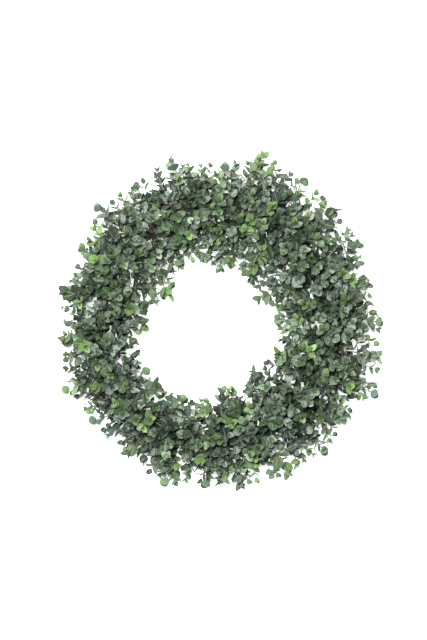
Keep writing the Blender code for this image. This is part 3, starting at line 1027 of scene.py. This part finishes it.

# %% [markdown]
# ## Materials
#
# Colours are given as sRGB hex values, and shaders want linear light, so one function turns the one
# into the other. Another adds a node with its settings and its links, which keeps each material's
# recipe readable.

# %% Colours and nodes


def linear(hex_colour):
    """An sRGB hex colour as linear red, green, blue and alpha."""
    parts = np.array([int(hex_colour[i : i + 2], 16) for i in (1, 3, 5)]) / 255.0
    bright = np.where(parts <= 0.04045, parts / 12.92, ((parts + 0.055) / 1.055) ** 2.4)
    return (*bright, 1.0)


def add(material, kind, inputs=(), output=0, **settings):
    """Adds a node to a material and returns one of its outputs.

    Settings are the node's fields, and inputs are its sockets' values or what is linked to them.
    """
    node = material.node_tree.nodes.new("ShaderNode" + kind)
    for field, value in settings.items():
        setattr(node, field, value)
    for socket, value in dict(inputs).items():
        if isinstance(value, bpy.types.NodeSocket):
            material.node_tree.links.new(value, node.inputs[socket])
        else:
            node.inputs[socket].default_value = value
    return node.outputs[output] if node.outputs else None


def new_material(name):
    """A material with an empty node tree."""
    made = bpy.data.materials.new(name)
    made.use_nodes = True
    made.node_tree.nodes.clear()
    return made


print("A young leaf in linear light:", np.round(linear("#5d7c37")[:3], 3))

# %% [markdown]
# ** The leaf** is moulded polyethylene, printed green and dusted with a pale powder that copies the
# bloom of the real plant. It gives the eye three layers: a green that goes from yellowish at the tips
# of the twigs to grey-blue below, cloudy patches of whitish bloom a few millimetres wide, and a paler
# midrib and rim. The pale rim is partly the leaf's own edge and partly a painted highlight, and leaves
# far in the foliage get painted shade. Underneath, the leaf is plain and greyer. The surface is nearly
# matt, with a soft shine where the bloom is thin.

# %% What the leaf's finish reads
leaf_finish = new_material("moulded_polyethylene_leaf")
age, tone, under = (
    add(leaf_finish, "Attribute", output="Fac", attribute_name=label)
    for label in ("age", "tone", "underside")
)
where = add(leaf_finish, "TexCoord", output="Object")
placed = add(leaf_finish, "UVMap", uv_map="along_across")
split = add(leaf_finish, "SeparateXYZ", {"Vector": placed}).node.outputs
print("The finish reads", age.node.attribute_name, tone.node.attribute_name, under.node.attribute_name)

# %% The blade: yellow-green, then leaf green, then grey-blue, and darker where its tone is low. The tone is a random tone of each twig, lowered by painted shade on leaves far in the foliage
green = add(leaf_finish, "ValToRGB", {"Fac": age})
ramp = green.node.color_ramp.elements
ramp[0].color = linear("#5d7c37")
ramp[1].color = linear("#31433b")
ramp.new(0.40).color = linear("#3c5a27")
# Painted shade: a low tone mixes the blade up to 95% towards a near-black green, so leaves far in the
# foliage look shaded; the rest of the tone is random from twig to twig.
dark_tone_and_shade = add(leaf_finish, "MapRange", {"Value": tone, "To Min": 0.95, "To Max": 0.0})
blade = add(leaf_finish, "MixRGB", {"Fac": dark_tone_and_shade, "Color1": green, "Color2": linear("#0c1712")})
print("Steps in the blade's colours:", len(ramp))

# %% The bloom: cloudy patches 6 mm wide, thicker on old leaves, with a dust of 0.8 mm grains in it
MOST_BLOOM = 0.6
PATCH_WIDTH, GRAIN_WIDTH = 0.00625, 0.0025 / 3
clouds = add(leaf_finish, "TexNoise", {"Vector": where, "Scale": 1 / PATCH_WIDTH, "Detail": 3.0})
grains = add(leaf_finish, "TexNoise", {"Vector": where, "Scale": 1 / GRAIN_WIDTH, "Detail": 2.0})
# The bloom grows with the tone, so it also thins under the painted shade far in the foliage.
bloom = tone
for value, from_low, from_high, thin, thick in (
    (age, 0.1, 0.9, 0.1, MOST_BLOOM),
    (clouds, 0.38, 0.66, 0.0, 1.0),
    (grains, 0.3, 0.7, 0.5, 1.0),
):
    limits = {"From Min": from_low, "From Max": from_high, "To Min": thin, "To Max": thick}
    share = add(leaf_finish, "MapRange", {"Value": value, **limits})
    bloom = add(leaf_finish, "Math", {0: bloom, 1: share}, operation="MULTIPLY")
print(f"The thickest bloom hides {MOST_BLOOM:.0%} of the green")

# %% The midrib, 0.4 mm wide with soft sides, and side veins that leave it at a slant every 2.5 mm
LEAF_SIZE, VEIN_SPACING = 0.0175, 0.0025
MIDRIB_SIDES = (0.00021, 0.0007875)
VEIN_COUNT, VEIN_LEAN = LEAF_SIZE / VEIN_SPACING, -5.0
off_middle = add(leaf_finish, "Math", {0: split["Y"], 1: 0.5}, operation="SUBTRACT")
across = add(leaf_finish, "Math", {0: off_middle}, operation="ABSOLUTE")
near, far = (side / LEAF_SIZE for side in MIDRIB_SIDES)
limits = {"From Min": near, "From Max": far, "To Min": 1.0, "To Max": 0.0}
midrib = add(leaf_finish, "MapRange", {"Value": across, **limits})
along = add(leaf_finish, "Math", {0: split["X"], 1: VEIN_COUNT}, operation="MULTIPLY")
slanted = add(leaf_finish, "Math", {0: across, 1: VEIN_LEAN, 2: along}, operation="MULTIPLY_ADD")
place = add(leaf_finish, "Math", {0: slanted}, operation="FRACT")
veins = add(leaf_finish, "MapRange", {"Value": place, "From Max": 0.16, "To Min": 0.35, "To Max": 0.0})
lines = add(leaf_finish, "Math", {0: midrib, 1: veins}, operation="MAXIMUM")
faint = add(leaf_finish, "Math", {0: lines, 1: 0.4}, operation="MULTIPLY")
print(f"A leaf has {VEIN_COUNT:.0f} side veins to a side")

# %% The rim, pale over the last millimetre: partly the leaf's pale edge, partly a painted highlight
limits = {"From Min": 0.43, "From Max": 0.495, "To Max": 0.5}
# Partly painted highlight: the rim is mixed towards a pale green as if light caught the edge, and it grows
# with the tone, so it fades under the painted shade far in the foliage.
rim = add(leaf_finish, "MapRange", {"Value": across, **limits})
pale_edge_and_highlight = add(leaf_finish, "Math", {0: rim, 1: tone}, operation="MULTIPLY")
print(f"The rim starts {1000 * LEAF_SIZE * (0.5 - limits['From Min']):.1f} mm from the edge")

# %% The leaf's layers, one over the other, its underside and its sheen
upper = blade
for share, colour in ((bloom, "#becabf"), (faint, "#8fa37a"), (pale_edge_and_highlight, "#a3b394")):
    upper = add(leaf_finish, "MixRGB", {"Fac": share, "Color1": upper, "Color2": linear(colour)})
below = add(leaf_finish, "MixRGB", {"Fac": 0.5, "Color1": blade, "Color2": linear("#627567")})
colour = add(leaf_finish, "MixRGB", {"Fac": under, "Color1": upper, "Color2": below})
limits = {"From Max": 0.5, "To Min": 0.52, "To Max": 0.8}
roughness = add(leaf_finish, "MapRange", {"Value": bloom, **limits})
height = add(leaf_finish, "Math", {0: lines, 1: -0.6, 2: grains}, operation="MULTIPLY_ADD")
relief = add(leaf_finish, "Bump", {"Height": height, "Distance": 0.00025, "Strength": 0.6})
surface = add(
    leaf_finish, "BsdfPrincipled",
    {"Base Color": colour, "Roughness": roughness, "Normal": relief, "IOR": 1.5},
)
add(leaf_finish, "OutputMaterial", {"Surface": surface})
print("Nodes in the leaf's finish:", len(leaf_finish.node_tree.nodes))

# %% [markdown]
# **The stem** is the same plastic over a wire. The young end is the green of the leaves, and towards
# the root it turns to a dull brown, with fine lengthwise streaks.

# %% The stem's finish: green at the tip, brown at the root, with streaks 0.5 mm wide and 10 mm long
STREAK_LENGTH, STREAK_WIDTH = 0.010, 0.0005
STEM_LENGTH, STEM_GIRTH = 0.060, 0.006
stem_finish = new_material("moulded_stem")
age = add(stem_finish, "Attribute", output="Fac", attribute_name="age")
placed = add(stem_finish, "UVMap", uv_map="along_across")
counts = (STEM_LENGTH / STREAK_LENGTH, STEM_GIRTH / STREAK_WIDTH, 1.0)
drawn = add(stem_finish, "Mapping", {"Vector": placed, "Scale": counts})
streaks = add(stem_finish, "TexNoise", {"Vector": drawn, "Scale": 1.0, "Detail": 3.0})
share = add(stem_finish, "MapRange", {"Value": age, "From Min": 0.1, "From Max": 1.3})
ends = {"Color1": linear("#56643f"), "Color2": linear("#3f3a31")}
dull = add(stem_finish, "MixRGB", {"Fac": share, **ends})
streaked = add(stem_finish, "MixRGB", {"Fac": streaks, "Color1": dull, "Color2": linear("#6a6f58")})
relief = add(stem_finish, "Bump", {"Height": streaks, "Distance": 0.0003, "Strength": 0.5})
surface = add(
    stem_finish, "BsdfPrincipled",
    {"Base Color": streaked, "Roughness": 0.6, "Normal": relief, "IOR": 1.5},
)
add(stem_finish, "OutputMaterial", {"Surface": surface})
print("Nodes in the stem's finish:", len(stem_finish.node_tree.nodes))

# %% [markdown]
# ## The sprays
#
# Each packed spray is now replaced by one piece: its stem on the same curve, its own leaves in their
# places, and its twigs.

# %% Building the sprays
SPRAY_AGEING, TWIG_AGEING = 1.2, 1.0
triangles = 0
for spray in sprays:
    route, youth = np.vstack([spray["root"], spray["bend"]]), spray["youth"]
    shells = [leaf_shell(spray["leaves"], LEAF_RINGS, LEAF_SIDES)]
    shells.append(leaf_shell(spray["buds"], BUD_RINGS, BUD_SIDES))
    shells.append(stem_shell(route, SPRAY_RADII, (youth + SPRAY_AGEING, youth), spray["tone"]))
    for twig in spray["twigs"]:
        ages = twig["youth"] + TWIG_AGEING, twig["youth"]
        shells.append(stem_shell(twig["route"], TWIG_RADII, ages, twig["tone"]))
    piece = make_mesh(spray["name"] + "_leafy", shells, (leaf_finish, stem_finish))
    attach(piece, "root")
    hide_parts(spray["name"])
    triangles += sum(len(face.vertices) - 2 for face in piece.data.polygons)
print(f"{len(sprays)} sprays with {triangles} triangles")

# %% [markdown]
# ## The vines
#
# Under the leaves the ring is four dry vines. Each is a tube along its helix, a few millimetres thick,
# with lengthwise ridges, a slow change of thickness and a knot here and there where a side shoot was
# cut. Where the bundle lies on the table the vine is pressed flat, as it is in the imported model.

# %% The vines' surface
VINE_ROWS = 420
VINE_SIDES = 16
VINE_END_RADIUS = 0.0036
END_RUN = 0.012
KNOT_COUNT = 9
KNOT_END, KNOT_LENGTH, KNOT_HEIGHT, KNOT_POWER = 0.03, 0.005, 0.0007, 2.0
RIDGE = 0.055
RIDGE_WAVES = ((3, 40.0, 1.0), (5, -25.0, 0.7), (7, 60.0, 0.5), (1, 90.0, 0.6))
VINE_SEED = 40


def vine_points(vine):
    """A vine's corners: a tube round a helix about the ring.

    The radius is the vine's own, thinner over the last stretch at each end, times one plus a sum of
    sines round and along the vine, plus a bell-shaped knot at a few places. No point goes below zero.
    """
    step = 360.0 / (VINE_TWISTS * VINE_STEPS)
    azimuth = VINE_SPACING * vine + np.linspace(step, 360.0 - step, VINE_ROWS)
    angle = vine_angle(vine, azimuth)
    route = ring_point(azimuth, angle, HELIX_RADIUS * (1 + SEGMENT_SAG) / 2)
    ways = unit(np.gradient(route, axis=0))
    turn = np.radians(angle)[:, None]
    off = np.cos(turn) * outward(azimuth) + np.sin(turn) * UP
    first = unit(off - np.einsum("ij,ij->i", off, ways)[:, None] * ways)
    run = np.concatenate([[0.0], np.cumsum(np.linalg.norm(np.diff(route, axis=0), axis=1))])
    rows, turns = np.meshgrid(run, 2 * np.pi * np.arange(VINE_SIDES) / VINE_SIDES, indexing="ij")
    chance = np.random.default_rng(VINE_SEED + vine)
    wave = np.zeros_like(rows)
    for waves, twist, strength in RIDGE_WAVES:
        wave += strength * np.sin(waves * turns + twist * rows + chance.uniform(0, 2 * np.pi))
    thick = VINE_RADIUS * (1.0 - 2 * RIDGE + RIDGE * wave / 2)
    knots = chance.uniform(KNOT_END, run[-1] - KNOT_END, KNOT_COUNT)
    for place, side in zip(knots, chance.uniform(0, 2 * np.pi, KNOT_COUNT)):
        near = np.exp(-(((rows - place) / KNOT_LENGTH) ** 2))
        thick += KNOT_HEIGHT * (near * np.exp(KNOT_POWER * (np.cos(turns - side) - 1.0)))
    ends, thin = np.minimum(run, run[-1] - run)[:, None], VINE_END_RADIUS / VINE_RADIUS
    thick *= thin + (1 - thin) * np.clip(ends / END_RUN, 0, 1)
    points = tube_points(route, thick, (first, np.cross(ways, first)))
    points[:, 2] = points[:, 2].clip(0.0)
    return points, run


print("A vine is", f"{vine_points(0)[1][-1]:.2f} m long")

# %% [markdown]
# ** The bark** is that of a dry grape vine: stringy brown fibres that run along the vine, with dark
# furrows between them and pale crests, which are a painted highlight. The fibres are about a
# millimetre wide and centimetres long, so the pattern is drawn on the map of the tube, stretched along
# it. The sawn ends show pale wood.

# %% The bark's fibres, 1 mm wide and 25 mm long
VINE_LENGTH = 1.20
FIBRE_WIDTH, FIBRE_LENGTH = 0.001, 0.025
bark = new_material("dry_vine_bark")
placed = add(bark, "UVMap", uv_map="along_across")
split = add(bark, "SeparateXYZ", {"Vector": placed}).node.outputs
along = add(bark, "Math", {0: split["X"], 1: VINE_LENGTH / FIBRE_LENGTH}, operation="MULTIPLY")
turn = add(bark, "Math", {0: split["Y"], 1: 2 * math.pi}, operation="MULTIPLY")
section = {"X": along}
for axis, wave in (("Y", "COSINE"), ("Z", "SINE")):
    side = add(bark, "Math", {0: turn}, operation=wave)
    section[axis] = add(bark, "Math", {0: side, 1: VINE_RADIUS / FIBRE_WIDTH}, operation="MULTIPLY")
fibred = add(bark, "CombineXYZ", section)
fibres = add(bark, "TexNoise", {"Vector": fibred, "Scale": 1.0, "Detail": 4.0})
print(f"A vine has {2 * math.pi * VINE_RADIUS / FIBRE_WIDTH:.0f} fibres round it")

# %% The bark's browns, which change slowly every 60 mm, and its relief
BROWN_LENGTH = 0.0625
where = add(bark, "TexCoord", output="Object")
slow = add(bark, "TexNoise", {"Vector": where, "Scale": 1 / BROWN_LENGTH, "Detail": 2.0})
browns = {"Color1": linear("#41352c"), "Color2": linear("#5f5246")}
brown = add(bark, "MixRGB", {"Fac": slow, **browns})
sharp = add(bark, "MapRange", {"Value": fibres, "From Min": 0.35, "From Max": 0.68})
streaked = add(bark, "MixRGB", {"Fac": sharp, "Color1": linear("#241d18"), "Color2": brown})
# Painted highlight: the crests of the fibres are mixed towards a pale brown.
crest_highlight = add(bark, "MapRange", {"Value": fibres, "From Min": 0.6, "From Max": 0.8, "To Max": 0.5})
pale_edge_and_highlight = add(bark, "MixRGB", {"Fac": crest_highlight, "Color1": streaked, "Color2": linear("#8c7d69")})
relief = add(bark, "Bump", {"Height": fibres, "Distance": 0.0012, "Strength": 0.8})
surface = add(bark, "BsdfPrincipled", {"Base Color": pale_edge_and_highlight, "Roughness": 0.85, "Normal": relief, "IOR": 1.5})
add(bark, "OutputMaterial", {"Surface": surface})
print("Nodes in the bark:", len(bark.node_tree.nodes))

# %% The sawn ends: pale wood, streaked by a noise 1.5 mm wide
PORE_WIDTH = 0.020 / 13
sawn_wood = new_material("sawn_vine_wood")
where = add(sawn_wood, "TexCoord", output="Object")
noise = add(sawn_wood, "TexNoise", {"Vector": where, "Scale": 1 / PORE_WIDTH, "Detail": 3.0})
woods = {"Color1": linear("#8d6f4c"), "Color2": linear("#c9ab80")}
wood = add(sawn_wood, "MixRGB", {"Fac": noise, **woods})
surface = add(sawn_wood, "BsdfPrincipled", {"Base Color": wood, "Roughness": 0.8, "IOR": 1.5})
add(sawn_wood, "OutputMaterial", {"Surface": surface})
print("Nodes in the sawn wood:", len(sawn_wood.node_tree.nodes))

# %% Building the vines
for vine in range(VINE_COUNT):
    points, _ = vine_points(vine)
    faces, places = closed_grid(VINE_ROWS, VINE_SIDES)
    plain = np.zeros(len(points))
    mapped, under = places / (VINE_ROWS + 1, VINE_SIDES), np.zeros(len(faces))
    shell = points, faces, mapped, plain, plain, under, 0
    piece = make_mesh(f"vine_{vine + 1}_bark", [shell], (bark, sawn_wood))
    ends = np.zeros(len(faces), int)
    ends[-2 * VINE_SIDES:] = 1
    piece.data.polygons.foreach_set("material_index", ends)
    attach(piece, "root")
    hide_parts(f"vine_{vine + 1}")
print("Vines built:", VINE_COUNT)

# %% [markdown]
# ## The studio
#
# The wreath lies on its back on a plain white floor and is seen from straight above. Soft light comes
# from all round and a little more from above and to the left, which keeps the shadows under the leaves
# and off the floor.

# %% The floor, which glows a little so that it stays white in the shade
FLOOR_SIZE, FLOOR_DROP = 8.0, 0.0005
floor_mesh = bpy.data.meshes.new("studio_floor")
half = FLOOR_SIZE / 2
square = [(-half, -half, 0), (half, -half, 0), (half, half, 0), (-half, half, 0)]
floor_mesh.from_pydata(square, [], [(0, 1, 2, 3)])
floor = bpy.data.objects.new("studio_floor", floor_mesh)
floor.location.z = -FLOOR_DROP
bpy.context.scene.collection.objects.link(floor)
floor_material = new_material("matt_white_paper")
glow = {"Emission Color": linear("#ffffff"), "Emission Strength": 0.75}
paper = add(
    floor_material, "BsdfPrincipled", {"Base Color": linear("#fbfbfa"), "Roughness": 0.95, **glow}
)
add(floor_material, "OutputMaterial", {"Surface": paper})
floor_mesh.materials.append(floor_material)
floor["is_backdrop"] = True
print(f"The floor is {FLOOR_SIZE:.0f} m wide")

# %% The light: a pale sky all round, and a soft box above and to the left
world = bpy.data.worlds.new("soft_studio")
bpy.context.scene.world = world
world.use_nodes = True
background = world.node_tree.nodes["Background"].inputs
background["Color"].default_value = linear("#f6f8fa")
background["Strength"].default_value = 0.24

lamp = bpy.data.lights.new("soft_box", "AREA")
lamp.size = 0.7
lamp.energy = 212.0
soft_box = bpy.data.objects.new("soft_box", lamp)
soft_box.location = (-0.35, 0.5, 2.4)
soft_box.rotation_euler = soft_box.location.to_track_quat("Z", "Y").to_euler()
bpy.context.scene.collection.objects.link(soft_box)
print(f"The soft box hangs {soft_box.location.length:.1f} m away")

# %% The camera, placed by the photograph's size and the wreath's middle in it
PIXEL = 0.00170
IMAGE_WIDTH, IMAGE_HEIGHT = 427, 640
MIDDLE_COLUMN, MIDDLE_ROW = 219.5, 321.5
LEVEL_OF_SCALE = 0.04
LENS = 100.0
SENSOR = 36.0

eye = bpy.data.cameras.new("camera")
eye.lens = LENS
eye.sensor_width = SENSOR
camera = bpy.data.objects.new("camera", eye)
distance = LENS / SENSOR * IMAGE_HEIGHT * PIXEL
aside, ahead = (IMAGE_WIDTH / 2 - MIDDLE_COLUMN) * PIXEL, (MIDDLE_ROW - IMAGE_HEIGHT / 2) * PIXEL
camera.location = (aside, ahead, LEVEL_OF_SCALE + distance)
bpy.context.scene.collection.objects.link(camera)
bpy.context.scene.camera = camera
bpy.context.scene.view_settings.view_transform = "Standard"
print(f"The camera is {distance:.2f} m above the leaves")

# %% The CAD box, and the end
print("CAD box:   ", cad_low.round(4), cad_high.round(4))
